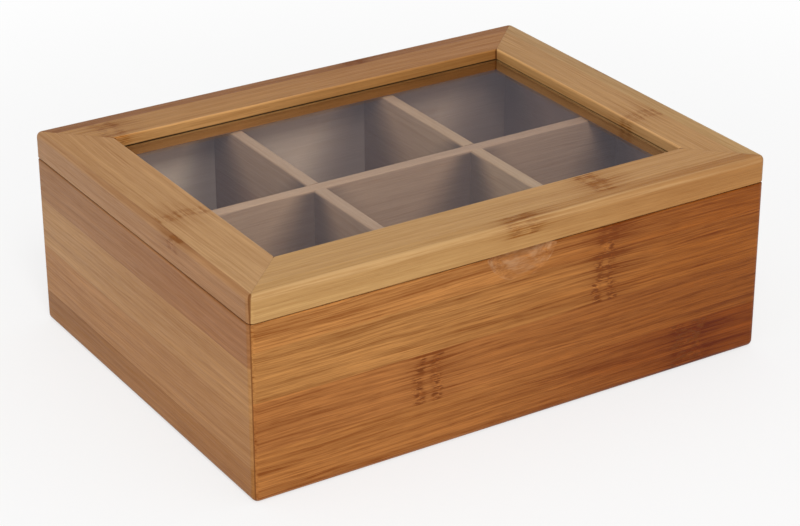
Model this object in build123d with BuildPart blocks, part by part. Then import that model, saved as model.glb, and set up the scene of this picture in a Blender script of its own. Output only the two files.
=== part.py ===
# Bamboo tea box with a hinged glass lid and six compartments. Millimetres, +Z up.
# +X runs to the right along the front and +Y towards the hinges. The origin is on the
# table, at the centre of the outline that the box and its hinge barrels make together.

import math
import os

from build123d import *

os.makedirs("parts", exist_ok=True)

# Box
box_length = 216.0  # left to right, outside
box_depth = 165.0  # front to back, outside
wall_height = 67.5
wall_thickness = 8.0
corner_radius = 2.5  # upright corners of box and lid
base_radius = 2.4  # lower outer edges
rim_chamfer = 0.4  # eased edges along the seam

# Bottom panel, in grooves
panel_thickness = 3.0
panel_lift = 4.0  # from the table to the panel
panel_groove_depth = 4.0
panel_play = 0.2  # groove wider than the panel
panel_edge_gap = 0.5  # room for the panel to swell, each side

# Dividers
divider_thickness = 5.0
divider_edge_radius = 0.6
dado_depth = 2.0  # grooves in the walls that take the dividers' ends
dado_play = 0.1  # each side of a divider
dado_end_gap = 0.2
lap_play = 0.1  # each side in a half-lap slot
lap_end_gap = 0.3

# Finger scoop in the front wall
scoop_width = 29.0  # along the wall's top edge
scoop_height = 10.8
scoop_sag = 4.0  # deepest reach of the round cutter into the wall

# Lid
seam_gap = 0.3
lid_thickness = 10.4
rail_width = 22.4
lid_edge_radius = 2.0  # upper outer edge
window_edge_radius = 0.6  # both edges round the window
pane_thickness = 2.0
pane_recess = 4.4  # from the lid's top to the glass
pane_groove_depth = 5.0
pane_play = 0.3  # shadow gap left over the glass in its groove
pane_edge_gap = 0.5  # from the glass's edge to the groove's floor

# Stop hinges
hinge_inset = 40.0  # from the box's end to the hinge's middle
hinge_length = 25.0
leaf_thickness = 1.8
leaf_reach = 6.3  # from the back face into the wood
mortise_play = 0.15
pin_radius = 0.9
pin_clearance = 0.05
pin_recess = 0.2  # each end of the pin, inside its knuckle
barrel_length = 18.0
middle_knuckle = 7.4  # the lid leaf's knuckle, between the box leaf's two
knuckle_gap = 0.3
knuckle_clearance = 0.25  # round the other leaf's knuckle
barrel_standoff = 0.35  # from the back face to the barrel
stop_angle = 95.0  # how far the lid opens
stop_clearance = 0.05  # each stop face, short of where they would meet

# Hinge screws
screw_spacing = 16.0
screw_setback = 3.6  # from the back face
screw_radius = 1.0
screw_head_radius = 1.8
screw_length = 7.0
screw_tip = 1.2
screw_clearance = 0.05
screw_hole_spare = 0.5  # hole deeper than the screw
cross_slot_length = 2.0
cross_slot_width = 0.45
cross_slot_depth = 0.5

# Worked out from the sizes above
upright_radius = max(corner_radius, base_radius, lid_edge_radius)
lid_bottom = wall_height + seam_gap
seam_level = wall_height + seam_gap / 2
knuckle_radius = leaf_thickness + seam_gap / 2
pin_offset = barrel_standoff + knuckle_radius
hinge_standout = pin_offset + knuckle_radius
centre_y = -hinge_standout / 2
back_face = centre_y + box_depth / 2
front_face = centre_y - box_depth / 2
pin_y = back_face + pin_offset
inner_length = box_length - 2 * wall_thickness
inner_depth = box_depth - 2 * wall_thickness
window_length = box_length - 2 * rail_width
window_depth = box_depth - 2 * rail_width
panel_top = panel_lift + panel_thickness
cell_length = (inner_length - 2 * divider_thickness) / 3
cross_spacing = cell_length + divider_thickness
divider_height = wall_height - panel_top
pane_level = lid_thickness - pane_recess - pane_thickness
hinge_spacing = box_length - 2 * hinge_inset

floor_plane = Plane(origin=(0, centre_y, 0))
inward_of = {
    "front": Vector(0, 1, 0),
    "back": Vector(0, -1, 0),
    "left": Vector(1, 0, 0),
    "right": Vector(-1, 0, 0),
}
low_corner = (Align.MIN, Align.MIN)


def keep(builder, name):
    """Label a finished piece and write its STEP file."""
    builder.part.label = name
    export_step(builder.part, f"parts/{name}.step")


def side_run(side):
    """Outside length of a side of the box."""
    return box_length if side in ("front", "back") else box_depth


def side_plane(side, level=0):
    """Section plane of a side: x runs inwards from its outer face, y runs up."""
    inward = inward_of[side]
    half = (box_depth if side in ("front", "back") else box_length) / 2
    foot = Vector(0, centre_y, level) - inward * half
    return Plane(origin=foot, x_dir=inward, z_dir=inward.cross(Vector(0, 0, 1)))


def section_corner(section, x_group, y_group):
    """Corner of a section: groups 0 are its lowest x and y, groups -1 its highest."""
    return section.vertices().group_by(Axis.X)[x_group].group_by(Axis.Y)[y_group]


def outer_form(level, height, far_radius, seam_end):
    """Outside of the box or lid as sanded. Its seam end is 0 at the bottom or -1 at the top."""
    with BuildPart() as form:
        with BuildSketch(floor_plane.offset(level)):
            RectangleRounded(box_length, box_depth, upright_radius)
        extrude(amount=height)
        fillet(form.faces().sort_by(Axis.Z)[-1 - seam_end].edges(), far_radius)
        chamfer(form.faces().sort_by(Axis.Z)[seam_end].edges(), rim_chamfer)
    return form.part


def cut_mitres(side, level, height, width):
    """Leave a side's own length only, mitred at both ends."""
    plane = side_plane(side)
    half = side_run(side) / 2
    reach = 2 * width
    with BuildSketch(floor_plane.offset(level)) as plan:
        outer = plane.origin - floor_plane.origin
        inner = outer + plane.x_dir * reach
        corners = (
            outer - plane.z_dir * half,
            outer + plane.z_dir * half,
            inner + plane.z_dir * (half - reach),
            inner - plane.z_dir * (half - reach),
        )
        Polygon(*[(c.X, c.Y) for c in corners], align=None)
    extrude(plan.sketch, amount=height, mode=Mode.INTERSECT)


def cut_dados():
    """Upright grooves in the walls that take the dividers' ends."""
    dado_width = divider_thickness + 2 * dado_play
    with BuildSketch(floor_plane.offset(panel_top)) as dados:
        with GridLocations(cross_spacing, inner_depth, 2, 2):
            Rectangle(dado_width, 2 * dado_depth)
        with GridLocations(inner_length, 0, 2, 1):
            Rectangle(2 * dado_depth, dado_width)
    extrude(dados.sketch, amount=divider_height, mode=Mode.SUBTRACT)


def cut_scoop():
    """Half-moon scoop for a finger, as a round-nosed cutter leaves it."""
    outline_radius = ((scoop_width / 2) ** 2 + scoop_height**2) / (2 * scoop_height)
    cutter_radius = (outline_radius**2 + scoop_sag**2) / (2 * scoop_sag)
    middle_level = wall_height - scoop_height + outline_radius
    with Locations((0, front_face + scoop_sag - cutter_radius, middle_level)):
        Sphere(cutter_radius, mode=Mode.SUBTRACT)


def leaf_planes(up):
    """Planes on the leaves' meeting faces, at the screws, facing the seam."""
    level = lid_bottom if up > 0 else wall_height
    return [
        Plane(
            origin=(x, back_face - screw_setback, level),
            x_dir=(1, 0, 0),
            z_dir=(0, 0, -up),
        )
        for x in (-hinge_spacing / 2, hinge_spacing / 2)
    ]


def cut_hinge_seats(up):
    """Mortises for the leaves and holes for their screws, in the back wall or rail."""
    for plane in leaf_planes(up):
        seat_width = hinge_length + 2 * mortise_play
        seat_reach = leaf_reach + mortise_play
        with BuildSketch(Plane.XY.offset(plane.origin.Z)) as seat:
            with Locations((plane.origin.X, back_face - seat_reach / 2)):
                Rectangle(seat_width, seat_reach)
        extrude(seat.sketch, amount=up * leaf_thickness, mode=Mode.SUBTRACT)
        with Locations(plane):
            with GridLocations(screw_spacing, 0, 2, 1):
                Hole(screw_radius + screw_clearance, screw_length + screw_hole_spare)


def extrude_spans(plane, spans, draw, mode=Mode.ADD):
    """Extrude a section over each span along the hinge, measured from its middle."""
    for start, end in spans:
        with BuildSketch(plane.offset(start)) as section:
            draw()
        extrude(section.sketch, amount=end - start, mode=mode)


def mirrored_span(start, end):
    return [(start, end), (-end, -start)]


def hinge_leaf(x, up):
    """One leaf. The section's x runs from the pin to the front, its y off the seam."""
    plane = Plane(origin=(x, pin_y, seam_level), x_dir=(0, -1, 0), z_dir=(-up, 0, 0))
    half_length = hinge_length / 2
    half_barrel = barrel_length / 2
    half_middle = middle_knuckle / 2
    near = seam_gap / 2
    far = near + leaf_thickness
    half_stop = math.radians(stop_angle / 2)

    if up > 0:
        own = [(-half_middle, half_middle)]
        coved = mirrored_span(half_middle, half_barrel + knuckle_gap)
        stops = mirrored_span(half_barrel + knuckle_gap, half_length)
    else:
        own = mirrored_span(half_middle + knuckle_gap, half_barrel)
        coved = [(-half_middle - knuckle_gap, half_middle + knuckle_gap)]
        stops = mirrored_span(half_barrel, half_length)

    def plate():
        with Locations((0, near)):
            Rectangle(pin_offset + leaf_reach, leaf_thickness, align=low_corner)

    def cove():
        Circle(knuckle_radius + knuckle_clearance)

    def knuckle():
        Circle(knuckle_radius)

    def stop_edge(height):
        # the leaves meet on the plane that halves the opening, behind the pin
        reach = height / math.tan(half_stop) - stop_clearance / math.sin(half_stop)
        return (-reach, height)

    def stop():
        Polygon((0, near), (0, far), stop_edge(far), stop_edge(near), align=None)

    def bore():
        Circle(pin_radius + pin_clearance)

    extrude_spans(plane, [(-half_length, half_length)], plate)
    extrude_spans(plane, coved, cove, Mode.SUBTRACT)
    extrude_spans(plane, own, knuckle)
    extrude_spans(plane, own, bore, Mode.SUBTRACT)
    extrude_spans(plane, stops, stop)
    for screw_plane in leaf_planes(up):
        if screw_plane.origin.X == x:
            with Locations(screw_plane):
                with GridLocations(screw_spacing, 0, 2, 1):
                    CounterSinkHole(
                        screw_radius + screw_clearance,
                        screw_head_radius + screw_clearance,
                        depth=leaf_thickness,
                        counter_sink_angle=90,
                    )


# Walls: one moulding all round, mitred, with a rounded foot and an eased rim
box_form = outer_form(0, wall_height, base_radius, seam_end=-1)
for side in inward_of:
    with BuildPart() as wall:
        with BuildSketch(side_plane(side)) as section:
            Rectangle(wall_thickness, wall_height, align=low_corner)
            chamfer(section_corner(section, -1, -1), rim_chamfer)
            with Locations((wall_thickness - panel_groove_depth, panel_lift)):
                Rectangle(
                    panel_groove_depth,
                    panel_thickness + panel_play,
                    align=low_corner,
                    mode=Mode.SUBTRACT,
                )
        extrude(amount=side_run(side) / 2, both=True)
        cut_mitres(side, 0, wall_height, wall_thickness)
        add(box_form, mode=Mode.INTERSECT)
        cut_dados()
        if side == "front":
            cut_scoop()
        if side == "back":
            cut_hinge_seats(-1)
    keep(wall, f"{side}_wall")

# Bottom panel
with BuildPart() as bottom_panel:
    tongue = panel_groove_depth - panel_edge_gap
    with BuildSketch(floor_plane.offset(panel_lift)):
        Rectangle(inner_length + 2 * tongue, inner_depth + 2 * tongue)
    extrude(amount=panel_thickness)
keep(bottom_panel, "bottom_panel")


def divider(plane, span):
    """A divider's plain strip, with its two upper edges eased."""
    length = span + 2 * (dado_depth - dado_end_gap)
    with BuildSketch(plane) as section:
        Rectangle(divider_thickness, divider_height, align=(Align.CENTER, Align.MIN))
        fillet(section.vertices().group_by(Axis.Y)[-1], divider_edge_radius)
    extrude(section.sketch, amount=length / 2, both=True)


# Half-lap slots: the long divider drops over the cross dividers
slot_width = divider_thickness + 2 * lap_play
slot_height = (divider_height + lap_end_gap) / 2

with BuildPart() as long_divider:
    divider(Plane(origin=(0, centre_y, panel_top), x_dir=(0, 1, 0), z_dir=(1, 0, 0)), inner_length)
    with BuildSketch(floor_plane.offset(panel_top)):
        with GridLocations(cross_spacing, 0, 2, 1):
            Rectangle(slot_width, slot_width)
    extrude(amount=slot_height, mode=Mode.SUBTRACT)
keep(long_divider, "long_divider")

for name, x in (("left", -cross_spacing / 2), ("right", cross_spacing / 2)):
    with BuildPart() as cross_divider:
        divider(Plane(origin=(x, centre_y, panel_top), x_dir=(1, 0, 0), z_dir=(0, -1, 0)), inner_depth)
        with BuildSketch(floor_plane.offset(wall_height)):
            with Locations((x, 0)):
                Rectangle(slot_width, slot_width)
        extrude(amount=-slot_height, mode=Mode.SUBTRACT)
    keep(cross_divider, f"cross_divider_{name}")

# Lid rails: one moulding, grooved for the glass, mitred
lid_form = outer_form(lid_bottom, lid_thickness, lid_edge_radius, seam_end=0)
for side in inward_of:
    with BuildPart() as rail:
        with BuildSketch(side_plane(side, lid_bottom)) as section:
            Rectangle(rail_width, lid_thickness, align=low_corner)
            fillet(section_corner(section, -1, -1), window_edge_radius)
            fillet(section_corner(section, -1, 0), window_edge_radius)
            with Locations((rail_width - pane_groove_depth, pane_level)):
                Rectangle(
                    pane_groove_depth,
                    pane_thickness + pane_play,
                    align=low_corner,
                    mode=Mode.SUBTRACT,
                )
        extrude(amount=side_run(side) / 2, both=True)
        cut_mitres(side, lid_bottom, lid_thickness, rail_width)
        add(lid_form, mode=Mode.INTERSECT)
        if side == "back":
            cut_hinge_seats(1)
    keep(rail, f"lid_{side}_rail")

# Glass
with BuildPart() as window_pane:
    tongue = pane_groove_depth - pane_edge_gap
    with BuildSketch(floor_plane.offset(lid_bottom + pane_level)):
        Rectangle(window_length + 2 * tongue, window_depth + 2 * tongue)
    extrude(amount=pane_thickness)
keep(window_pane, "window_pane")

# Hinges
for name, x in (("left", -hinge_spacing / 2), ("right", hinge_spacing / 2)):
    with BuildPart() as box_leaf:
        hinge_leaf(x, -1)
    keep(box_leaf, f"hinge_{name}_box_leaf")

    with BuildPart() as lid_leaf:
        hinge_leaf(x, 1)
    keep(lid_leaf, f"hinge_{name}_lid_leaf")

    with BuildPart() as pin:
        with BuildSketch(Plane(origin=(x, pin_y, seam_level), z_dir=(1, 0, 0))):
            Circle(pin_radius)
        extrude(amount=barrel_length / 2 - pin_recess, both=True)
    keep(pin, f"hinge_{name}_pin")

# Screws: the head's flat at the origin, the point down
with BuildPart() as screw:
    with BuildSketch(Plane.XZ):
        with BuildLine():
            Polyline(
                (0, 0),
                (screw_head_radius, 0),
                (screw_radius, screw_radius - screw_head_radius),
                (screw_radius, screw_tip - screw_length),
                (0, -screw_length),
                close=True,
            )
        make_face()
    revolve(axis=Axis.Z)
    with BuildSketch():
        Rectangle(cross_slot_length, cross_slot_width)
        Rectangle(cross_slot_width, cross_slot_length)
    extrude(amount=-cross_slot_depth, mode=Mode.SUBTRACT)

for name, up in (("box_leaf_screws", -1), ("lid_leaf_screws", 1)):
    with BuildPart() as screws:
        with Locations(*leaf_planes(up)):
            with GridLocations(screw_spacing, 0, 2, 1):
                add(screw.part)
    keep(screws, name)
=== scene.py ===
import math
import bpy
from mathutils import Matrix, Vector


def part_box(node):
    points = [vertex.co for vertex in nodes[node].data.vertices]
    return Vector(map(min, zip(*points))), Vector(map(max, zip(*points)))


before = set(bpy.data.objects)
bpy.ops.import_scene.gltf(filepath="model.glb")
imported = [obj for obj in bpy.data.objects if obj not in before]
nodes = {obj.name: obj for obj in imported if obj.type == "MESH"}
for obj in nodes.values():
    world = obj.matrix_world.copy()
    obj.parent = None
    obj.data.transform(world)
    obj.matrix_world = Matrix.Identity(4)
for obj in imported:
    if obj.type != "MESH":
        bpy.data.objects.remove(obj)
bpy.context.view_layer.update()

from types import SimpleNamespace

import bpy
import bmesh
from mathutils import Matrix, Vector

print("frame loaded with", len(nodes), "CAD nodes")


# places in the frame, in millimetres

def cornersOf(name):
    low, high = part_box(name)
    return low * 1000, high * 1000


frontFace, innerFront = (corner.y for corner in cornersOf("front_wall"))
innerBack, backFace = (corner.y for corner in cornersOf("back_wall"))
innerEnd, endFace = (corner.x for corner in cornersOf("right_wall"))
windowFront = cornersOf("lid_front_rail")[1].y
lidFoot, lidTop = (corner.z for corner in cornersOf("lid_left_rail"))
rim = cornersOf("left_wall")[1].z
paneFoot, paneTop = (corner.z for corner in cornersOf("window_pane"))
dividerLow, dividerHigh = (corner.x for corner in cornersOf("cross_divider_right"))
dividerPitch = dividerLow + dividerHigh  # the two cross dividers stand this far apart
middleY = (frontFace + backFace) / 2
halfDepth = (backFace - frontFace) / 2
plyLevel = (lidFoot + lidTop) / 2  # the lid's rails are two layers thick
railWidth = windowFront - frontFace


# small helpers for building node materials

def paint(code):
    # a paint chip such as "B07743" as a linear colour
    parts = [int(code[i:i + 2], 16) / 255 for i in (0, 2, 4)]
    return tuple(((c + 0.055) / 1.055) ** 2.4 if c > 0.04045 else c / 12.92 for c in parts) + (1.0,)


def wire(tree, socket, value):
    if isinstance(value, bpy.types.NodeSocket):
        tree.links.new(value, socket)
    else:
        socket.default_value = value


def calc(tree, operation, *values, clamp=False):
    node = tree.nodes.new("ShaderNodeMath")
    node.operation = operation
    node.use_clamp = clamp
    for socket, value in zip(node.inputs, values):
        wire(tree, socket, value)
    return node.outputs[0]


def add(tree, first, second):
    return calc(tree, "ADD", first, second)


def minus(tree, first, second):
    return calc(tree, "SUBTRACT", first, second)


def times(tree, first, second):
    return calc(tree, "MULTIPLY", first, second)


def higher(tree, first, second):
    return calc(tree, "MAXIMUM", first, second)


def apart(tree, first, second):
    # how far two values are from each other
    return calc(tree, "ABSOLUTE", minus(tree, first, second))


def signed(tree, value):
    # noise from 0 to 1 made to swing round 0
    return minus(tree, value, 0.5)


def fade(tree, value, start, end, low=0.0, high=1.0):
    # a smooth step from low to high as value goes from start to end
    node = tree.nodes.new("ShaderNodeMapRange")
    node.interpolation_type = "SMOOTHSTEP"
    for socket, part in zip(node.inputs, (value, start, end, low, high)):
        wire(tree, socket, part)
    return node.outputs[0]


def band(tree, value, low, high, soft):
    # 1 between low and high
    rise = fade(tree, value, low - soft, low + soft)
    return times(tree, rise, fade(tree, value, high - soft, high + soft, 1.0, 0.0))


def point(tree, x, y, z):
    node = tree.nodes.new("ShaderNodeCombineXYZ")
    for socket, value in zip(node.inputs, (x, y, z)):
        wire(tree, socket, value)
    return node.outputs[0]


def stretch(tree, vector, scale, seed):
    # each seed gives another part of the same pattern
    node = tree.nodes.new("ShaderNodeMapping")
    wire(tree, node.inputs["Vector"], vector)
    node.inputs["Location"].default_value = seed
    node.inputs["Scale"].default_value = scale
    return node.outputs[0]


def cloud(tree, vector, scale=(1, 1, 1), seed=(0, 0, 0), detail=2.0, rough=0.5, swirl=0.0):
    node = tree.nodes.new("ShaderNodeTexNoise")
    wire(tree, node.inputs["Vector"], stretch(tree, vector, scale, seed))
    node.inputs["Scale"].default_value = 1.0
    node.inputs["Detail"].default_value = detail
    node.inputs["Roughness"].default_value = rough
    node.inputs["Distortion"].default_value = swirl
    return node.outputs[0]


def layerOf(tree, vector, look, seed=(0, 0, 0)):
    # a cloud that fades in between two edges, over a span of its own if it has one
    seed, swirl = look.get("seed", seed), look.get("swirl", 0.0)
    noise = cloud(tree, vector, look["scale"], seed, look["detail"], look["rough"], swirl)
    return fade(tree, noise, *look["edges"], *look.get("span", (0.0, 1.0)))


def cells(tree, vector, scale, seed):
    node = tree.nodes.new("ShaderNodeTexVoronoi")
    wire(tree, node.inputs["Vector"], stretch(tree, vector, scale, seed))
    node.inputs["Scale"].default_value = 1.0
    return node.outputs["Distance"]


def blendColour(tree, share, under, over, way="MIX"):
    node = tree.nodes.new("ShaderNodeMix")
    node.data_type = "RGBA"
    node.blend_type = way
    for socket, value in zip((node.inputs[0], node.inputs[6], node.inputs[7]), (share, under, over)):
        wire(tree, socket, value)
    return node.outputs[2]


def steps(tree, value, stops):
    # flat steps of colour: stops are (position from 0 to 1, colour)
    node = tree.nodes.new("ShaderNodeValToRGB")
    node.color_ramp.interpolation = "CONSTANT"
    marks = node.color_ramp.elements
    while len(marks) < len(stops):
        marks.new(1.0)
    while len(marks) > len(stops):
        marks.remove(marks[-1])
    for mark, (position, colour) in zip(marks, stops):
        mark.position = position
        mark.color = colour
    wire(tree, node.inputs[0], value)
    return node.outputs[0]


def mixShaders(tree, share, under, over, output):
    node = tree.nodes.new("ShaderNodeMixShader")
    wire(tree, node.inputs[0], share)
    tree.links.new(under.outputs[0], node.inputs[1])
    tree.links.new(over.outputs[0], node.inputs[2])
    tree.links.new(node.outputs[0], output.inputs["Surface"])


def seenRays(tree):
    # 1 for what is seen: straight, in a gloss or through glass
    path = tree.nodes.new("ShaderNodeLightPath").outputs
    throughOrMirrored = higher(tree, path["Is Glossy Ray"], path["Is Transmission Ray"])
    return higher(tree, path["Is Camera Ray"], throughOrMirrored)


def startMaterial(name):
    material = bpy.data.materials.new(name)
    material.use_nodes = True
    tree = material.node_tree
    tree.nodes.clear()
    shader = tree.nodes.new("ShaderNodeBsdfPrincipled")
    output = tree.nodes.new("ShaderNodeOutputMaterial")
    tree.links.new(shader.outputs[0], output.inputs["Surface"])
    return material, tree, shader


def millimetres(tree):
    # the object's own X, Y and Z, in millimetres
    place = tree.nodes.new("ShaderNodeTexCoord").outputs["Object"]
    axes = tree.nodes.new("ShaderNodeSeparateXYZ")
    tree.links.new(place, axes.inputs[0])
    return {axis: times(tree, axes.outputs[axis], 1000.0) for axis in "XYZ"}


def relief(tree, shader, height, distance, strength=1.0):
    bump = tree.nodes.new("ShaderNodeBump")
    bump.inputs["Strength"].default_value = strength
    bump.inputs["Distance"].default_value = distance
    wire(tree, bump.inputs["Height"], height)
    tree.links.new(bump.outputs[0], shader.inputs["Normal"])


def dress(names, material):
    for name in names:
        nodes[name].data.materials.clear()
        nodes[name].data.materials.append(material)


# bamboo: strips of cane pressed edge to edge
# a board is a material in the making: its node tree, its plan, and the colour, tone and height so far

bambooLook = dict(
    darkTint=(0.58, 0.38, 0.14, 1.0), lightTint=(1.48, 1.54, 1.58, 1.0),  # what a tone of -1 or 1 does
    gloss=0.40, glossSpread=0.16,
    shine=0.11,
    relief=0.00005,
    poreDepth=0.5, grainDepth=0.6, veinDepth=0.35,
)


def startBoard(name, plan):
    material, tree, shader = startMaterial(name)
    spot = millimetres(tree)
    along, across, deep = (spot[axis] for axis in plan["grain"])
    board = SimpleNamespace(
        material=material, tree=tree, shader=shader, plan=plan, spot=spot,
        along=along, across=across, deep=deep, indoors=None)
    if "axis" in plan:
        inward = 1.0 if plan["inner"] > plan["outer"] else -1.0
        board.fromFace = times(tree, minus(tree, spot[plan["axis"]], plan["outer"]), inward)
        if plan["axis"] == plan["grain"][1]:
            board.across = board.fromFace  # a rail's strips are counted from its outer face
    return board


# strips: each has its own colour at either end, and its own stretch of grain

stripLook = dict(
    waver=0.5, waverRate=0.05,  # the glue lines wander a little
    turnWaver=70.0, turnRate=(0.02, 0.15), turnSeed=4.0,  # and one end's colour gives way raggedly
    firstOffset=0.13, offsetStep=0.19, layerOffset=0.37, layerSoft=0.05,
    bow=4.0, bowRate=(0.011, 0.04),
    offsetReach=900.0,
)


def layStrips(board):
    tree, plan, look = board.tree, board.plan, stripLook
    strips = plan["strips"]
    low, wide = strips[0][0], plan["wide"] - strips[0][0]
    waver = cloud(tree, point(tree, times(tree, board.along, look["waverRate"]), board.across, 0.0))
    laid = add(tree, board.across, times(tree, signed(tree, waver), look["waver"]))
    laid = calc(tree, "DIVIDE", minus(tree, laid, low), wide)
    places = [(strip[0] - low) / wide for strip in strips]
    greys = [look["firstOffset"] + look["offsetStep"] * i for i in range(len(strips))]
    firstEnd = steps(tree, laid, [(place, paint(strip[1])) for place, strip in zip(places, strips)])
    otherEnd = steps(tree, laid, [(place, paint(strip[2])) for place, strip in zip(places, strips)])
    board.offset = steps(tree, laid, [(place, (grey, grey, grey, 1.0)) for place, grey in zip(places, greys)])

    alongRate, acrossRate = look["turnRate"]
    slowAlong, slowAcross = times(tree, board.along, alongRate), times(tree, board.across, acrossRate)
    slow = signed(tree, cloud(tree, point(tree, slowAlong, slowAcross, look["turnSeed"])))
    turn = add(tree, board.along, times(tree, slow, look["turnWaver"]))
    board.colour = blendColour(tree, fade(tree, turn, *plan["run"]), firstEnd, otherEnd)
    if "layerTint" in plan:
        upper = fade(tree, board.deep, plyLevel - look["layerSoft"], plyLevel + look["layerSoft"])
        board.offset = add(tree, board.offset, times(tree, upper, look["layerOffset"]))
        board.colour = blendColour(tree, upper, board.colour, plan["layerTint"], "MULTIPLY")


def bendFibres(board):
    # the space in which all grain is drawn: it bows a little, and each strip lies elsewhere in it
    tree, look = board.tree, stripLook
    alongRate, acrossRate = look["bowRate"]
    bowAlong, bowAcross = times(tree, board.along, alongRate), times(tree, board.across, acrossRate)
    bow = times(tree, cloud(tree, point(tree, bowAlong, bowAcross, board.offset)), look["bow"])
    shifted = add(tree, board.along, times(tree, board.offset, look["offsetReach"]))
    board.fibre = point(tree, shifted, add(tree, board.across, bow), board.deep)


# grain: layers of stretched noise, with their scale along, across and into the board
# a layer fades in between two values, has a neutral middle, and lightens the board by its tone
# fine layers can be calmed board by board, and a layer without a seed takes the board's

grainLayers = dict(
    grain=dict(scale=(0.0085, 0.50, 0.50), detail=4.0, rough=0.80, edges=(0.30, 0.70), middle=0.5, tone=1.02),
    broad=dict(scale=(0.006, 0.10, 0.10), detail=1.0, rough=0.50, edges=(0.30, 0.70), middle=0.5, tone=0.28),
    pores=dict(
        scale=(0.045, 1.9, 1.9), detail=2.0, rough=0.60, edges=(0.32, 0.68), middle=0.5, tone=0.60,
        fine=True),
    lines=dict(
        scale=(0.016, 1.15, 1.15), detail=2.0, rough=0.70, edges=(0.50, 0.64), middle=0.3, tone=-0.28,
        fine=True, seed=(1, 6, 2)),
    flecks=dict(
        scale=(0.13, 1.1, 1.1), detail=1.5, rough=0.50, edges=(0.52, 0.66), middle=0.15, tone=-0.20,
        seed=(3, 8, 1)),
)
veinLook = dict(scale=(0.010, 0.55, 0.55), seed=(7, 3, 5), detail=1.0, width=0.022, tone=0.14)


def growGrain(board):
    tree, plan = board.tree, board.plan
    contrast = plan.get("contrast", 1.0)
    fine = contrast * plan.get("fine", 1.0)
    board.tone = 0.0
    masks = {}
    for name, layer in grainLayers.items():
        masks[name] = layerOf(tree, board.fibre, layer, plan["seed"])
        amount = layer["tone"] * (fine if "fine" in layer else contrast)
        board.tone = add(tree, board.tone, times(tree, minus(tree, masks[name], layer["middle"]), amount))
    board.grain, board.pores = masks["grain"], masks["pores"]
    noise = cloud(tree, board.fibre, veinLook["scale"], veinLook["seed"], veinLook["detail"])
    board.veins = fade(tree, apart(tree, noise, 0.5), 0.0, veinLook["width"], 1.0, 0.0)
    board.tone = minus(tree, board.tone, times(tree, board.veins, veinLook["tone"] * fine))


def applyTone(board):
    tree, look = board.tree, bambooLook
    for sign, tint in ((-1.0, look["darkTint"]), (1.0, look["lightTint"])):
        share = calc(tree, "MULTIPLY", board.tone, sign, clamp=True)
        board.colour = blendColour(tree, share, board.colour, tint, "MULTIPLY")
    board.height = times(tree, board.pores, look["poreDepth"])
    board.height = add(tree, board.height, times(tree, board.grain, look["grainDepth"]))
    board.height = minus(tree, board.height, times(tree, board.veins, look["veinDepth"]))


# rings of the cane: dashes in two columns, a paler strip between them and a stain round them

ringLook = dict(
    colour=paint("743A0E"),
    columnEdges=(0.10, 0.34), gapEdges=(0.05, 0.25), coreEdges=(0.35, 0.80),  # in ring widths
    stainShift=0.3, stainHalf=0.5,  # in ring widths as well: the stain lies more to one side
    stainReach=15.0, stainDark=0.85, coreDark=0.55, gapTone=0.30,
    grainEdges=(0.25, 0.75), grainShares=(0.85, 0.32),  # the stain is stronger in the dark grain
    edgeSoft=0.2, layerSoft=0.3,
    lean=0.45,  # slant of the dashes
    dashEdges=(0.50, 0.60), rimEdges=(0.37, 0.46), rimSoft=0.03,
    crumbScale=(0.30, 1.10, 1.10), crumbSeed=(1, 3, 5), crumbShare=0.55,
    dashes=0.85, columnShade=0.12, rimShare=0.7, dashDepth=0.9,
)
dashCloud = dict(scale=(0.22, 1.00, 1.00), seed=(2, 9, 4), detail=3.0, rough=0.6, swirl=0.5)
wobbleCloud = dict(scale=(0.0, 0.30, 0.30), seed=(3, 3, 3), detail=4.0, rough=0.6)
wobbleSize = 8.0
ringLayers = dict(
    spacing=dict(  # from a ring's middle to a column, in ring widths
        scale=(0.0, 0.16, 0.16), seed=(2, 7, 1), detail=2.0, rough=0.5,
        edges=(0.35, 0.65), span=(0.22, 0.46)),
    patchy=dict(  # where the columns break up
        scale=(0.16, 0.42, 0.42), seed=(9, 2, 8), detail=2.0, rough=0.5,
        edges=(0.36, 0.54), span=(0.25, 1.10)),
    ragged=dict(  # where the stain does
        scale=(0.08, 0.55, 0.55), seed=(6, 6, 6), detail=3.0, rough=0.6,
        edges=(0.36, 0.62), span=(0.30, 1.15)),
)


def ringNoise(board):
    wander = signed(board.tree, cloud(board.tree, board.fibre, **wobbleCloud))
    masks = {name: layerOf(board.tree, board.fibre, layer) for name, layer in ringLayers.items()}
    return SimpleNamespace(wobble=times(board.tree, wander, wobbleSize), **masks)


def fadeOut(tree, value, edges, wide, dark=1.0):
    # from dark to nothing, between two distances given in ring widths
    return fade(tree, value, wide * edges[0], wide * edges[1], dark, 0.0)


def oneRing(board, ring, noise):
    tree, look = board.tree, ringLook
    wide = ring["wide"]
    off = minus(tree, add(tree, board.along, noise.wobble), ring["at"])
    away = calc(tree, "ABSOLUTE", off)
    strip = band(tree, board.across, ring["low"], ring["high"], look["edgeSoft"])
    here = times(tree, strip, ring["dark"])
    if "above" in ring:
        soft = look["layerSoft"]
        here = times(tree, here, fade(tree, board.deep, ring["above"] - soft, ring["above"] + soft))
    fromColumn = apart(tree, away, times(tree, noise.spacing, wide))
    column = times(tree, fadeOut(tree, fromColumn, look["columnEdges"], wide), noise.patchy)
    gap = fadeOut(tree, away, look["gapEdges"], wide)
    reach = wide * look["stainHalf"] + look["stainReach"]
    smear = fade(tree, apart(tree, off, wide * look["stainShift"]), 0.0, reach, look["stainDark"], 0.0)
    core = fadeOut(tree, away, look["coreEdges"], wide, board.plan.get("core", look["coreDark"]))
    smear = add(tree, smear, times(tree, core, noise.ragged))
    return [times(tree, here, mask) for mask in (column, gap, smear)]


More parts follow.
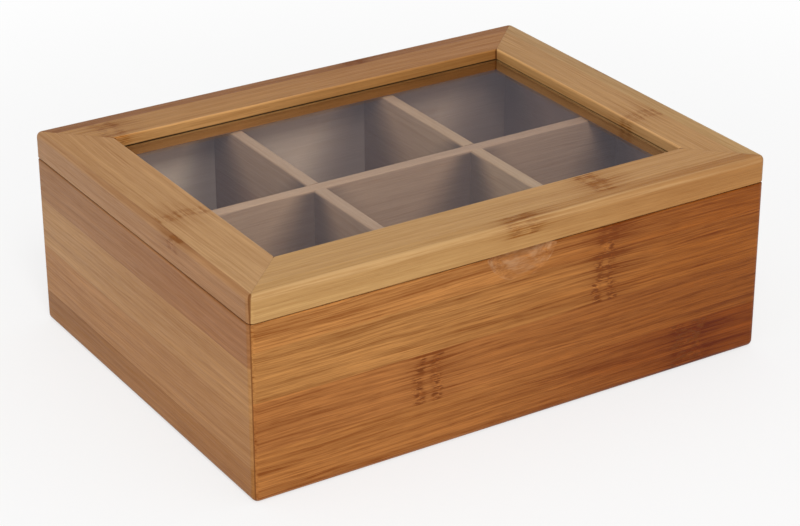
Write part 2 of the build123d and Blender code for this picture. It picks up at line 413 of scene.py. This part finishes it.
def stainRings(board):
    tree, look = board.tree, ringLook
    noise = ringNoise(board)
    masks = [0.0, 0.0, 0.0]
    for ring in board.plan["rings"]:
        masks = [higher(tree, *pair) for pair in zip(masks, oneRing(board, ring, noise))]
    board.columns, gaps, stain = masks
    taken = fade(tree, board.grain, *look["grainEdges"], *look["grainShares"])
    board.tone = minus(tree, board.tone, times(tree, stain, taken))
    board.tone = add(tree, board.tone, times(tree, gaps, look["gapTone"]))


def drawDashes(board):
    # short slanted dashes, dark, each with a paler rim
    tree, plan, look = board.tree, board.plan, ringLook
    slant = tree.nodes.new("ShaderNodeVectorMath")
    wire(tree, slant.inputs[0], board.fibre)
    wire(tree, slant.inputs[1], point(tree, times(tree, board.across, look["lean"]), 0.0, 0.0))
    crumbs = cells(tree, slant.outputs[0], look["crumbScale"], look["crumbSeed"])
    noise = cloud(tree, slant.outputs[0], **dashCloud)
    noise = minus(tree, noise, times(tree, signed(tree, crumbs), look["crumbShare"]))
    dashes = times(tree, fade(tree, noise, *look["dashEdges"]), plan.get("dashes", look["dashes"]))
    rims = band(tree, noise, *look["rimEdges"], look["rimSoft"])
    columns = board.columns
    if board.indoors is not None:
        columns = times(tree, columns, minus(tree, 1.0, board.indoors))
    marks = times(tree, columns, add(tree, dashes, look["columnShade"]))
    pale = times(tree, times(tree, rims, columns), look["rimShare"])
    board.colour = blendColour(tree, pale, board.colour, bambooLook["lightTint"], "MULTIPLY")
    board.colour = blendColour(tree, marks, board.colour, look["colour"])
    board.height = minus(tree, board.height, times(tree, marks, look["dashDepth"]))


# inside the box the bamboo is raw and paler, partly painted light, and the compartments' corners get painted
# shade

insideLook = dict(
    share=0.90, calm=0.85,  # how much of the inner colour it takes, raw and partly painted light, and how much calmer its grain is
    skin=(0.12, 0.02),  # it starts this close to the inner face
    run=(-100.0, 100.0),
    # painted shade in the compartments' upright corners: a bluish dark tint
    cornerShadeTint=(0.06, 0.06, 0.10, 1.0),
    cornerShadeDark=0.73, cornerEdges=(0.1, 1.0),
    cornerShadeStart=10.0, cornerShadeSpread=0.95,  # the painted corner shade widens with depth
    rimEdges=(1.4, 0.3),  # the painted corner shade ends this far under the rim
    leftShadeShare=0.45, leftShadeEdges=(0.3, 0.7),  # painted light: a compartment's left end gets less of the painted corner shade
)


def bareAndPaintedLightInside(board):
    tree, plan, look = board.tree, board.plan, insideLook
    thick = abs(plan["inner"] - plan["outer"])
    skin, skinEnd = look["skin"]
    board.indoors = fade(tree, board.fromFace, thick - skin, thick - skinEnd)
    # the inner colour is partly the bamboo's raw colour and partly painted light, running from one end of the
    # box to the other
    firstEnd, otherEnd = (paint(code) for code in plan["rawAndPaintedLight"])
    rawAndPaintedLight = blendColour(tree, fade(tree, board.along, *look["run"]), firstEnd, otherEnd)
    board.colour = blendColour(tree, times(tree, board.indoors, look["share"]), board.colour, rawAndPaintedLight)
    calmer = minus(tree, 1.0, times(tree, board.indoors, look["calm"]))
    board.tone = times(tree, board.tone, calmer)


def toCorner(tree, spot, runsAlong):
    # how far a point is from the nearest upright corner of its compartment
    if runsAlong == "X":
        fromMiddle = calc(tree, "ABSOLUTE", spot["X"])
        fromDivider = apart(tree, fromMiddle, dividerPitch / 2)
        toWall = minus(tree, innerEnd, fromMiddle)
    else:
        fromDivider = apart(tree, spot["Y"], middleY)
        toWall = minus(tree, innerBack - middleY, fromDivider)
    toDivider = minus(tree, fromDivider, (dividerHigh - dividerLow) / 2)
    return calc(tree, "MINIMUM", toDivider, toWall)


# painted shade: darkens each compartment's upright corners, wider with depth and weaker at a compartment's
# left end
def paintCornerShade(board):
    tree, spot, look = board.tree, board.spot, insideLook
    runsAlong = board.plan["corners"]
    shadeSpread = board.plan.get("shadeSpread", (1.0, 1.0))
    reach = add(tree, times(tree, minus(tree, rim, spot["Z"]), look["cornerShadeSpread"]), look["cornerShadeStart"])
    reach = times(tree, reach, fade(tree, spot[runsAlong], -innerEnd, innerEnd, *shadeSpread))
    away = calc(tree, "DIVIDE", toCorner(tree, spot, runsAlong), reach)
    shade = fade(tree, away, *look["cornerEdges"], look["cornerShadeDark"], 0.0)
    if runsAlong == "X":
        inCell = calc(tree, "FLOORED_MODULO", add(tree, spot["X"], dividerPitch / 2), dividerPitch)
        inCell = calc(tree, "DIVIDE", inCell, dividerPitch)
        shade = times(tree, shade, fade(tree, inCell, *look["leftShadeEdges"], look["leftShadeShare"], 1.0))
    start, end = look["rimEdges"]
    shade = times(tree, shade, fade(tree, spot["Z"], rim - start, rim - end, 1.0, 0.0))
    if board.indoors is not None:
        shade = times(tree, shade, board.indoors)
    board.colour = blendColour(tree, shade, board.colour, look["cornerShadeTint"], "MULTIPLY")


# the scoop: cut through the skin by a ball, patchy, showing the layers as rings, with painted shade towards
# its lower edge

scoopLook = dict(
    width=29.0, height=10.8, sag=4.0,  # the half-moon in the wall's face, and how deep it goes
    edge=(0.03, 0.25),  # how far over its edge it fades out
    dark=paint("A87347"), pale=paint("BF946C"),
    share=0.60, shadedLowerShare=0.35, lowerEnd=0.45,
)
scoopPatches = dict(
    scale=(0.12, 0.30, 0.30), seed=(6, 2, 1), detail=2.0, rough=0.6,
    edges=(0.38, 0.60), span=(0.15, 1.0),
)
scoopLayers = dict(
    scale=(0.10, 0.35, 2.0), seed=(4, 4, 4), detail=3.0, rough=0.6, swirl=0.8,
    edges=(0.35, 0.65),
)


def cutScoop(board):
    tree, spot, look = board.tree, board.spot, scoopLook
    half, tall, sag = look["width"] / 2, look["height"], look["sag"]
    outline = (half ** 2 + tall ** 2) / (2 * tall)
    ball = (outline ** 2 + sag ** 2) / (2 * sag)
    fromBall = tree.nodes.new("ShaderNodeVectorMath")
    fromBall.operation = "DISTANCE"
    wire(tree, fromBall.inputs[0], point(tree, spot["X"], spot["Y"], spot["Z"]))
    fromBall.inputs[1].default_value = (0.0, frontFace + sag - ball, rim - tall + outline)
    start, end = look["edge"]
    cut = fade(tree, fromBall.outputs["Value"], ball + start, ball + end, 1.0, 0.0)
    cut = times(tree, cut, layerOf(tree, board.fibre, scoopPatches))
    # painted shade: less of the pale colour towards the scoop's lower edge, to offset the light the upturned
    # lower part of the dish catches
    lowerEnd = rim - tall * look["lowerEnd"]
    cut = times(tree, cut, fade(tree, spot["Z"], rim - tall, lowerEnd, look["shadedLowerShare"], 1.0))
    bare = blendColour(tree, layerOf(tree, board.fibre, scoopLayers), look["dark"], look["pale"])
    board.colour = blendColour(tree, times(tree, cut, look["share"]), board.colour, bare)


# the lid's rails: a painted highlight along the outer top edge, and painted shadow in the gap over the glass
# and on the rail under it

railLook = dict(
    highlightColour=paint("DDB582"), highlightEdges=(1.3, 2.6),
    highlightGrain=(0.2, 0.8), highlightShares=(0.4, 1.0),  # the dark grain takes less of the painted highlight
    # painted shadow: a near-black line in the slot over the glass
    slotShadowColour=paint("1E1108"), slotHeight=0.33, slotDepth=5.0,
    lipUnder=1.2, lipOver=0.05,  # the gap's painted shadow ends this far from the window, under and over the glass
    overHeight=0.2, overSoft=0.15, overShadeShare=0.75,  # the gap's painted shadow darkens the edge above it
    windowEdges=(0.8, 0.6),  # the rail's window face starts this far from the window
    underShadeTint=(0.50, 0.42, 0.38, 1.0),  # painted shade on the rail under the glass
    soft=0.1,
)


# painted highlight: a pale band along the rail's top outer edge, strongest on the front rail
def paintEdgeHighlight(board):
    tree, look = board.tree, railLook
    fromEdge = add(tree, board.fromFace, minus(tree, lidTop, board.spot["Z"]))
    edgeHighlight = fade(tree, fromEdge, *look["highlightEdges"], board.plan["edgeHighlight"], 0.0)
    edgeHighlight = times(tree, edgeHighlight, fade(tree, board.grain, *look["highlightGrain"], *look["highlightShares"]))
    board.colour = blendColour(tree, edgeHighlight, board.colour, look["highlightColour"])


# painted shadow in the slot over the glass and on the edge above it, and painted shade on the rail below the
# glass
def paintGapShadow(board):
    tree, look, soft = board.tree, railLook, railLook["soft"]
    fromFace, level = board.fromFace, board.spot["Z"]
    slotTop = paneTop + look["slotHeight"]
    slotEnd = railWidth - look["slotDepth"]
    lipUnder, lipOver = railWidth - look["lipUnder"], railWidth - look["lipOver"]
    lip = fade(tree, level, paneTop - 2 * soft, paneTop + soft, lipUnder, lipOver)
    slot = fade(tree, minus(tree, lip, fromFace), 0.0, 3 * soft)
    slot = times(tree, slot, fade(tree, fromFace, slotEnd - 4 * soft, slotEnd - 2 * soft))
    slot = times(tree, slot, band(tree, level, paneFoot - soft, slotTop, 0.3 * soft))
    start, end = look["windowEdges"]
    atWindow = fade(tree, fromFace, railWidth - start, railWidth - end)
    over = band(tree, level, paneTop, slotTop + look["overHeight"], look["overSoft"])
    slot = higher(tree, slot, times(tree, times(tree, atWindow, over), look["overShadeShare"]))
    under = times(tree, atWindow, fade(tree, level, paneFoot - soft, paneFoot + soft, 1.0, 0.0))
    board.colour = blendColour(tree, under, board.colour, look["underShadeTint"], "MULTIPLY")
    board.colour = blendColour(tree, slot, board.colour, look["slotShadowColour"])


# glue in the mitres: wide and dark on an outside corner, thin on the flat

glueLook = dict(
    colour=paint("74431A"),
    thin=0.12, thinShare=0.35, wideShare=0.85, wideEdges=(0.15, 0.55),
    cornerEdges=(0.9, 2.4), windowEdges=(1.4, 0.3),
    railRise=(0.6, 1.2),  # less at a rail's foot, more at its top
    lineEdges=(0.4, 1.0), depth=1.2,
    turn=1.0,  # one end's width gives way to the other's this close to the middle
)


def glueMitres(board):
    tree, plan, look = board.tree, board.plan, glueLook
    lowEnd, highEnd, atWindow = plan["glue"]
    middle, turn = plan["middle"], look["turn"]
    toEnd = minus(tree, plan["half"], apart(tree, board.along, middle))
    wide = fade(tree, board.along, middle - turn, middle + turn, lowEnd, highEnd)
    if "edgeHighlight" in plan:
        wide = times(tree, wide, fade(tree, board.spot["Z"], lidFoot, lidTop, *look["railRise"]))
    wide = times(tree, wide, fade(tree, board.fromFace, *look["cornerEdges"], 1.0, 0.0))
    if "edgeHighlight" in plan:
        start, end = look["windowEdges"]
        wide = add(tree, wide, fade(tree, board.fromFace, railWidth - start, railWidth - end, 0.0, atWindow))
    wide = add(tree, wide, look["thin"])
    toMitre = calc(tree, "DIVIDE", minus(tree, toEnd, board.fromFace), wide)
    glue = fade(tree, toMitre, *look["lineEdges"], 1.0, 0.0)
    firm = times(tree, fade(tree, wide, *look["wideEdges"], look["thinShare"], look["wideShare"]), glue)
    board.colour = blendColour(tree, firm, board.colour, look["colour"])
    board.height = minus(tree, board.height, times(tree, glue, look["depth"]))


def finishBoard(board):
    tree, shader, look = board.tree, board.shader, bambooLook
    wire(tree, shader.inputs["Base Color"], board.colour)
    shader.inputs["Specular IOR Level"].default_value = look["shine"]
    rough = minus(tree, look["gloss"], times(tree, signed(tree, board.pores), look["glossSpread"]))
    wire(tree, shader.inputs["Roughness"], rough)
    relief(tree, shader, board.height, look["relief"])
    return board.material


def bamboo(name, plan):
    board = startBoard(name, plan)
    layStrips(board)
    bendFibres(board)
    growGrain(board)
    if plan["rings"]:
        stainRings(board)
    if "rawAndPaintedLight" in plan:
        bareAndPaintedLightInside(board)
    applyTone(board)
    if plan["rings"]:
        drawDashes(board)
    if "corners" in plan:
        paintCornerShade(board)
    if "scoop" in plan:
        cutScoop(board)
    if "edgeHighlight" in plan:
        paintEdgeHighlight(board)
        paintGapShadow(board)
    if "glue" in plan:
        glueMitres(board)
    return finishBoard(board)


# what a board's plan says
# grain: the axes along, across and into the board
# strips: where each starts, and its colour at the low end and at the high end; run: where one gives way
# wide: where the last strip ends; seed: another piece of the same grain for every board
# axis, outer, inner: the board's faces; middle, half: its middle and half length, to the mitre's point
# glue: how wide it shows at the low end, at the high end and in the window's corner
# corners: the axis a compartment's wall runs along, for its painted corner shade; shadeSpread: how wide that
# painted shade is at either end
# rawAndPaintedLight: the inner face's colours at either end, its raw colour raised or lowered as painted
# light and shade; edgeHighlight: how strong the painted highlight on the lid's top outer edge is; layerTint:
# its upper layer

acrossBox = dict(middle=0.0, half=endFace)
alongSide = dict(middle=middleY, half=halfDepth)
walls = dict(
    front_wall=dict(
        grain="XZY", wide=rim, run=(-60, 95), seed=(0, 0, 0), contrast=1.12,
        strips=[
            (0, "A56933", "7E3D0D"), (19.0, "A06431", "864918"),
            (38.1, "A7713B", "8F501B"), (57.1, "AB713A", "8C4C17")],
        rings=[
            dict(at=76.0, low=0, high=19.0, wide=13, dark=1.3),
            dict(at=-38.7, low=19.0, high=38.1, wide=9, dark=1.1),
            dict(at=35.6, low=38.1, high=57.1, wide=8, dark=1.1),
            dict(at=37.4, low=57.1, high=70, wide=7, dark=1.0)],
        axis="Y", outer=frontFace, inner=innerFront, glue=(0.35, 0.15, 0.0), **acrossBox,
        corners="X", rawAndPaintedLight=("EACDB2", "EACDB2"), scoop=True),
    back_wall=dict(
        grain="XZY", wide=rim, run=(-80, 90), seed=(4, 2, 1), contrast=0.9,
        strips=[
            (0, "A66936", "9A6230"), (13.9, "B27A3F", "A06634"),
            (33.0, "A46B38", "AC733C"), (52.0, "AA713C", "985D2C")],
        rings=[
            dict(at=-52.0, low=13.9, high=33.0, wide=9, dark=1.0),
            dict(at=61.0, low=33.0, high=52.0, wide=8, dark=1.0),
            dict(at=10.0, low=52.0, high=70, wide=8, dark=0.9)],
        axis="Y", outer=backFace, inner=innerBack, glue=(0.15, 0.15, 0.0), **acrossBox,
        # painted light: the back wall's inner face is painted near white at its left end and darker to the
        # right, with wider painted corner shade at the right
        corners="X", rawAndPaintedLight=("FFECD4", "E6CAB2"), shadeSpread=(0.65, 1.5)),
    left_wall=dict(
        grain="YZX", wide=rim, run=(-90, 90), seed=(9, 5, 2), contrast=0.60, fine=0.4,
        strips=[
            (0, "A06A34", "956332"), (13.0, "AB7845", "A97748"),
            (32.1, "AF7D4A", "AF8355"), (51.2, "9E693D", "9C6F48")],
        rings=[],
        axis="X", outer=-endFace, inner=-innerEnd, glue=(0.35, 0.15, 0.0), **alongSide,
        corners="Y", rawAndPaintedLight=("EACDB2", "EACDB2")),
    right_wall=dict(
        grain="YZX", wide=rim, run=(-90, 90), seed=(1, 8, 6), contrast=0.7, fine=0.8,
        strips=[
            (0, "A27850", "996F4A"), (15.8, "976A44", "A07856"),
            (34.9, "A98156", "A1764E"), (54.0, "9D724B", "A67F5C")],
        rings=[
            dict(at=-30.0, low=15.8, high=34.9, wide=8, dark=0.9),
            dict(at=38.0, low=54.0, high=70, wide=7, dark=0.8)],
        axis="X", outer=endFace, inner=innerEnd, glue=(0.15, 0.15, 0.0), **alongSide,
        # painted shade: the right wall's inner face is painted darker, with wider painted corner shade
        corners="Y", rawAndPaintedLight=("B6A094", "BEA698"), shadeSpread=(1.4, 1.4)),
)
rails = dict(
    lid_front_rail=dict(
        grain="XYZ", wide=railWidth, run=(-60, 90), seed=(2, 1, 7), contrast=0.38,
        strips=[(0, "BE935C", "AB7843"), (6.2, "C19762", "BE905C")],
        rings=[
            dict(at=0.6, low=-2, high=6.2, wide=12, dark=0.8, above=plyLevel),
            dict(at=41.0, low=6.2, high=25, wide=7, dark=0.7)],
        axis="Y", outer=frontFace, inner=windowFront, glue=(0.75, 0.25, 0.6), **acrossBox,
        edgeHighlight=0.4, layerTint=(0.94, 0.92, 0.90, 1.0)),
    lid_back_rail=dict(
        grain="XYZ", wide=railWidth, run=(-90, 90), seed=(5, 3, 3), contrast=0.5,
        strips=[(0, "93643F", "98673F"), (6.5, "AC7E4D", "A57345"), (21.3, "D49E62", "AC763E")],
        rings=[
            dict(at=-84.0, low=6.5, high=25, wide=8, dark=0.6),
            dict(at=30.0, low=-2, high=6.5, wide=8, dark=0.5, above=plyLevel)],
        axis="Y", outer=backFace, inner=backFace - railWidth, glue=(0.1, 0.1, 0.6), **acrossBox,
        edgeHighlight=0.1, layerTint=(1.0, 1.0, 1.0, 1.0)),
    lid_left_rail=dict(
        grain="YXZ", wide=railWidth, run=(-80, 80), seed=(8, 6, 1), contrast=0.42,
        strips=[(0, "A4744A", "A87C54"), (2.1, "BB9061", "B68858")],
        rings=[
            dict(at=-15.5, low=2.1, high=25, wide=5, dark=0.45),
            dict(at=-31.5, low=-2, high=2.1, wide=6, dark=0.8, above=plyLevel)],
        axis="X", outer=-endFace, inner=railWidth - endFace, glue=(0.75, 0.15, 0.6), **alongSide,
        edgeHighlight=0.1, layerTint=(0.98, 0.98, 0.98, 1.0)),
    lid_right_rail=dict(
        grain="YXZ", wide=railWidth, run=(-80, 80), seed=(3, 7, 4), contrast=0.42,
        strips=[(0, "BA9360", "B08A5C"), (7.4, "B78A58", "B38858"), (21.3, "CE9E68", "CE9C60")],
        rings=[
            dict(at=-29.0, low=7.4, high=25, wide=6, dark=0.45),
            dict(at=15.0, low=-2, high=2.5, wide=6, dark=0.7, above=plyLevel)],
        axis="X", outer=endFace, inner=endFace - railWidth, glue=(0.1, 0.1, 0.6), **alongSide,
        edgeHighlight=0.1, layerTint=(1.0, 1.0, 1.0, 1.0)),
)
for name, plan in walls.items():
    dress([name], bamboo("bamboo_" + name, plan))
for name, plan in rails.items():
    dress([name], bamboo("bamboo_" + name, dict(plan, dashes=0.35, core=1.1)))  # fainter dashes, darker stain
print("bamboo walls and rails finished")

dividers = dict(
    # painted shade: the long divider's strips are painted darker towards its right end
    long_divider=dict(
        grain="XZY", wide=rim, run=(-90, 90), seed=(6, 6, 2), contrast=0.3, corners="X", rings=[],
        strips=[(0, "BC997A", "A38368"), (22.0, "C09D7E", "A7876C"), (45.0, "C6A484", "B49478")]),
    cross_divider_left=dict(
        grain="YZX", wide=rim, run=(-70, 70), seed=(1, 4, 9), contrast=0.3, corners="Y", rings=[],
        strips=[(0, "B49174", "B89578"), (26.0, "BB987B", "B79578"), (48.0, "BD9E80", "C1A386")],
        shadeSpread=(1.0, 1.5)),
    cross_divider_right=dict(
        grain="YZX", wide=rim, run=(-70, 70), seed=(7, 2, 5), contrast=0.3, corners="Y", rings=[],
        strips=[(0, "B89578", "B49174"), (20.0, "B79576", "BC9A7C"), (42.0, "C3A684", "C0A080")],
        shadeSpread=(1.0, 1.5)),
)
panelBoard = dict(
    grain="XYZ", wide=80, run=(-100, 100), seed=(5, 5, 5), contrast=0.5, rings=[],
    strips=[
        (-80, "C09A78", "BA9472"), (-40, "C5A07C", "C09872"),
        (0, "BC9674", "C49E7A"), (40, "C8A482", "C09A76")],
)
for name, plan in dividers.items():
    dress([name], bamboo("divider_" + name, plan))
dress(["bottom_panel"], bamboo("panel_board", panelBoard))
print("dividers and bottom panel finished")


# the window: clear glass with a breath of dust, which lets the lamps through to the inside

paneLook = dict(
    tint=(0.985, 0.985, 0.985, 1.0), through=(0.97, 0.97, 0.97, 1.0),
    bend=1.5,
    dustScale=(0.05, 0.08, 0.05), wipeScale=(0.02, 0.25, 0.02), hazeEdges=(0.2, 0.45), haze=0.02,
    waveScale=(0.015, 0.015, 0.015), waveHeight=0.00004, waveShare=0.3,
)


def paneGlass(name, look):
    material, tree, shader = startMaterial(name)
    spot = millimetres(tree)
    place = point(tree, spot["X"], spot["Y"], spot["Z"])
    dust = cloud(tree, place, look["dustScale"], detail=4.0, rough=0.6)
    wiped = times(tree, dust, cloud(tree, place, look["wipeScale"]))
    shader.inputs["Base Color"].default_value = look["tint"]
    shader.inputs["Transmission Weight"].default_value = 1.0
    shader.inputs["IOR"].default_value = look["bend"]
    haze = times(tree, fade(tree, wiped, *look["hazeEdges"]), look["haze"])
    wire(tree, shader.inputs["Roughness"], haze)
    waves = cloud(tree, place, look["waveScale"], detail=1.0)
    relief(tree, shader, waves, look["waveHeight"], look["waveShare"])
    clear = tree.nodes.new("ShaderNodeBsdfTransparent")
    clear.inputs["Color"].default_value = look["through"]
    path = tree.nodes.new("ShaderNodeLightPath").outputs
    lampRay = higher(tree, path["Is Shadow Ray"], path["Is Diffuse Ray"])
    mixShaders(tree, lampRay, shader, clear, tree.nodes["Material Output"])
    return material


dress(["window_pane"], paneGlass("pane_glass", paneLook))


# brass: leaves, pins and screws, brushed and a little dulled

brassLooks = dict(
    leaf=dict(ending="_leaf", bright="DCB272", dull="B4864C", gloss=0.30, brush=(0.4, 6.0, 6.0)),
    pin=dict(ending="_pin", bright="D2A664", dull="A67A42", gloss=0.28, brush=(0.3, 5.0, 5.0)),
    screw=dict(ending="_screws", bright="D6AA6A", dull="AA7E46", gloss=0.32, brush=(2.0, 2.0, 2.0)),
)
brassWear = dict(
    mottle=dict(scale=(0.35, 0.35, 0.35), detail=4.0, rough=0.6, edges=(0.42, 0.68)),
    dullGloss=0.18, brushGloss=0.10, relief=0.00001,
)


def brass(name, look):
    material, tree, shader = startMaterial(name)
    spot = millimetres(tree)
    place = point(tree, spot["X"], spot["Y"], spot["Z"])
    tarnish = layerOf(tree, place, brassWear["mottle"])
    brush = cloud(tree, place, look["brush"], rough=0.6)
    colour = blendColour(tree, tarnish, paint(look["bright"]), paint(look["dull"]))
    wire(tree, shader.inputs["Base Color"], colour)
    shader.inputs["Metallic"].default_value = 1.0
    rough = add(tree, look["gloss"], times(tree, tarnish, brassWear["dullGloss"]))
    rough = add(tree, rough, times(tree, brush, brassWear["brushGloss"]))
    wire(tree, shader.inputs["Roughness"], rough)
    relief(tree, shader, brush, brassWear["relief"])
    return material


for kind, look in brassLooks.items():
    pieces = [name for name in nodes if name.endswith(look["ending"])]
    dress(pieces, brass("brass_" + kind, look))
print("glass and brass finished")


# studio: pale floor, a soft lamp, white surroundings

studio = dict(
    floorSize=12.0, floorColour=(0.94, 0.94, 0.94, 1.0), floorRough=0.9, shadowShare=0.35,
    shadowEnd=(200.0, 500.0),  # between these distances from the middle the floor turns pure white
    roomLight=(1.0, 1.0, 1.0, 1.0), roomStrength=0.63,
    white=(1.0, 1.0, 1.0, 1.0), wallColour=(0.25, 0.225, 0.25, 1.0), wallStart=(0.12, 0.30),
    keyPlace=(-0.85, -1.75, 2.1), keySize=1.0, keyPower=34.0, keyAim=(0, 0, 0.04),
)


def floorPaper(plan):
    material, tree, shader = startMaterial("floor_paper")
    shader.inputs["Base Color"].default_value = plan["floorColour"]
    shader.inputs["Roughness"].default_value = plan["floorRough"]
    shader.inputs["Specular IOR Level"].default_value = 0.0
    glow = tree.nodes.new("ShaderNodeEmission")
    glow.inputs["Strength"].default_value = 1.0
    spot = millimetres(tree)
    squares = add(tree, calc(tree, "POWER", spot["X"], 2.0), calc(tree, "POWER", spot["Y"], 2.0))
    far = calc(tree, "SQRT", squares)
    share = fade(tree, far, *plan["shadowEnd"], 1.0 - plan["shadowShare"], 1.0)
    mixShaders(tree, times(tree, seenRays(tree), share), shader, glow, tree.nodes["Material Output"])
    return material


def makeFloor(plan):
    mesh = bpy.data.meshes.new("floor")
    work = bmesh.new()
    bmesh.ops.create_grid(work, x_segments=1, y_segments=1, size=plan["floorSize"] / 2)
    work.to_mesh(mesh)
    work.free()
    floor = bpy.data.objects.new("floor", mesh)
    bpy.context.scene.collection.objects.link(floor)
    mesh.materials.append(floorPaper(plan))


def makeRoom(plan):
    # the room lights everything evenly, but is seen as white low down and as a grey wall higher up
    world = bpy.data.worlds.new("studio")
    world.use_nodes = True
    tree = world.node_tree
    tree.nodes.clear()
    lit = tree.nodes.new("ShaderNodeBackground")
    lit.inputs["Color"].default_value = plan["roomLight"]
    lit.inputs["Strength"].default_value = plan["roomStrength"]
    seenRoom = tree.nodes.new("ShaderNodeBackground")
    seenRoom.inputs["Strength"].default_value = 1.0
    axes = tree.nodes.new("ShaderNodeSeparateXYZ")
    tree.links.new(tree.nodes.new("ShaderNodeTexCoord").outputs["Generated"], axes.inputs[0])
    wall = fade(tree, axes.outputs["Z"], *plan["wallStart"])
    wire(tree, seenRoom.inputs["Color"], blendColour(tree, wall, plan["white"], plan["wallColour"]))
    mixShaders(tree, seenRays(tree), lit, seenRoom, tree.nodes.new("ShaderNodeOutputWorld"))
    bpy.context.scene.world = world


def makeLamp(name, plan):
    data = bpy.data.lights.new(name, "AREA")
    data.shape = "SQUARE"
    data.size = plan["keySize"]
    data.energy = plan["keyPower"]
    lamp = bpy.data.objects.new(name, data)
    bpy.context.scene.collection.objects.link(lamp)
    lamp.location = plan["keyPlace"]
    aim = Vector(plan["keyAim"]) - Vector(plan["keyPlace"])
    lamp.rotation_euler = aim.to_track_quat("-Z", "Y").to_euler()


shot = dict(
    turn=-32.081, tilt=25.809, roll=-0.154,
    place=(-0.44288, -0.71130, 0.43327), lens=110.45, sensor=36.0,
)


def makeCamera(plan):
    data = bpy.data.cameras.new("camera")
    data.lens = plan["lens"]
    data.sensor_width = plan["sensor"]
    camera = bpy.data.objects.new("camera", data)
    bpy.context.scene.collection.objects.link(camera)
    turn = Matrix.Rotation(math.radians(plan["turn"]), 4, "Z")
    tilt = Matrix.Rotation(math.radians(90 - plan["tilt"]), 4, "X")
    roll = Matrix.Rotation(math.radians(plan["roll"]), 4, "Z")
    camera.matrix_world = Matrix.Translation(plan["place"]) @ turn @ tilt @ roll
    bpy.context.scene.camera = camera


makeFloor(studio)
makeRoom(studio)
makeLamp("key_lamp", studio)
makeCamera(shot)
bpy.context.scene.view_settings.view_transform = "Standard"
print("studio and camera set")
